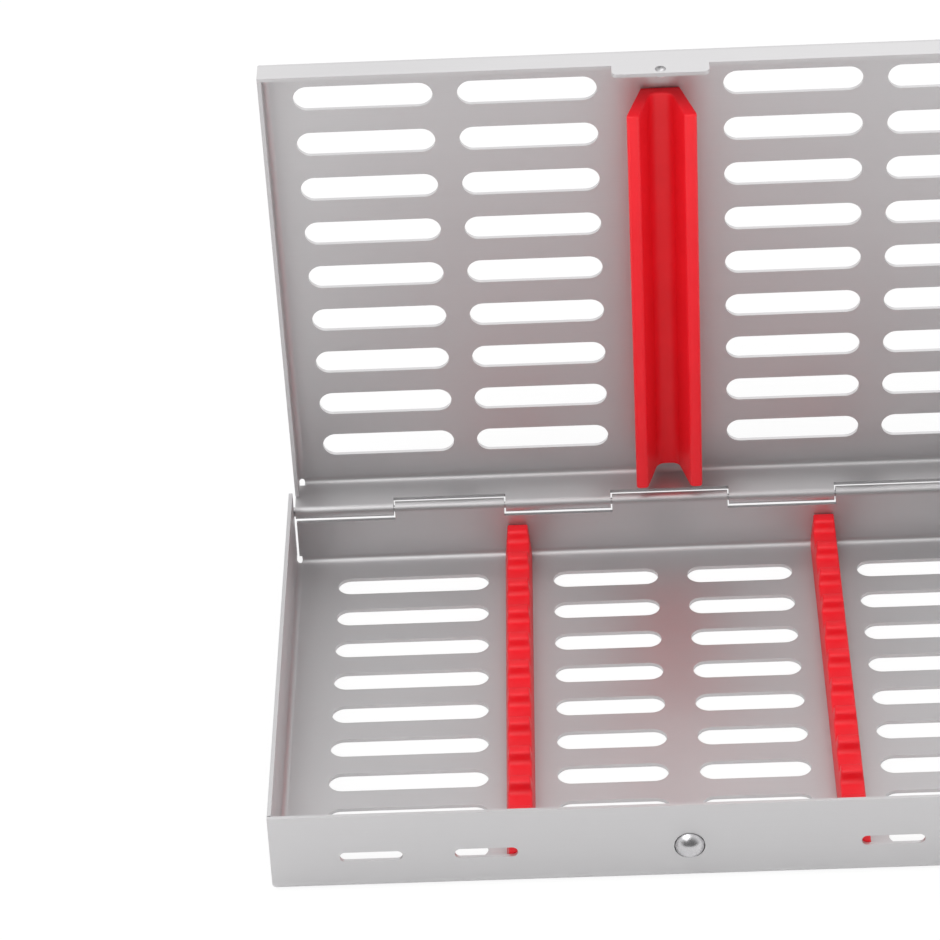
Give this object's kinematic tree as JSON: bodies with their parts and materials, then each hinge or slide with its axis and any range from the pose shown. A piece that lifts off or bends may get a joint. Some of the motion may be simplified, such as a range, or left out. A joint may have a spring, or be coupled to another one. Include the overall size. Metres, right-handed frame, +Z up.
{
  "type": "instrument cassette",
  "caption": "Hinged perforated steel cassette for dental or surgical instruments, with red silicone rails, a hold-down bar under the lid and a push-button latch.",
  "frame": {"origin": "centre of the tray's underside", "axes": "+X along the hinge, front wall with the button towards -Y, +Z up"},
  "size_m": [0.2046, 0.1545, 0.1556],
  "materials": {
    "tray_steel": "satin",
    "lid_steel": "satin",
    "pin_steel": "satin",
    "button_steel": "polished",
    "spring_steel": "satin",
    "silicone": "satin"
  },
  "bodies": {
    "base": {"base_tray": "tray_steel", "hinge_pin": "pin_steel", "left_rail": "silicone", "right_rail": "silicone", "latch_spring": "spring_steel"},
    "cover": {"lid": "lid_steel", "hold_down_bar": "silicone"},
    "button": {"latch_button": "button_steel"}
  },
  "joints": [
    {"name": "lid_hinge", "type": "hinge", "parent": "base", "child": "cover", "pos_m": [0, 0.0709, 0.0159], "axis": [-1, 0, 0], "range_deg": [-84, 96]},
    {"name": "latch_press", "type": "slide", "parent": "base", "child": "button", "axis": [0, 1, 0], "range_m": [0, 0.0008], "stiffness_N_per_m": 1500, "deforming": ["latch_spring"]}
  ]
}
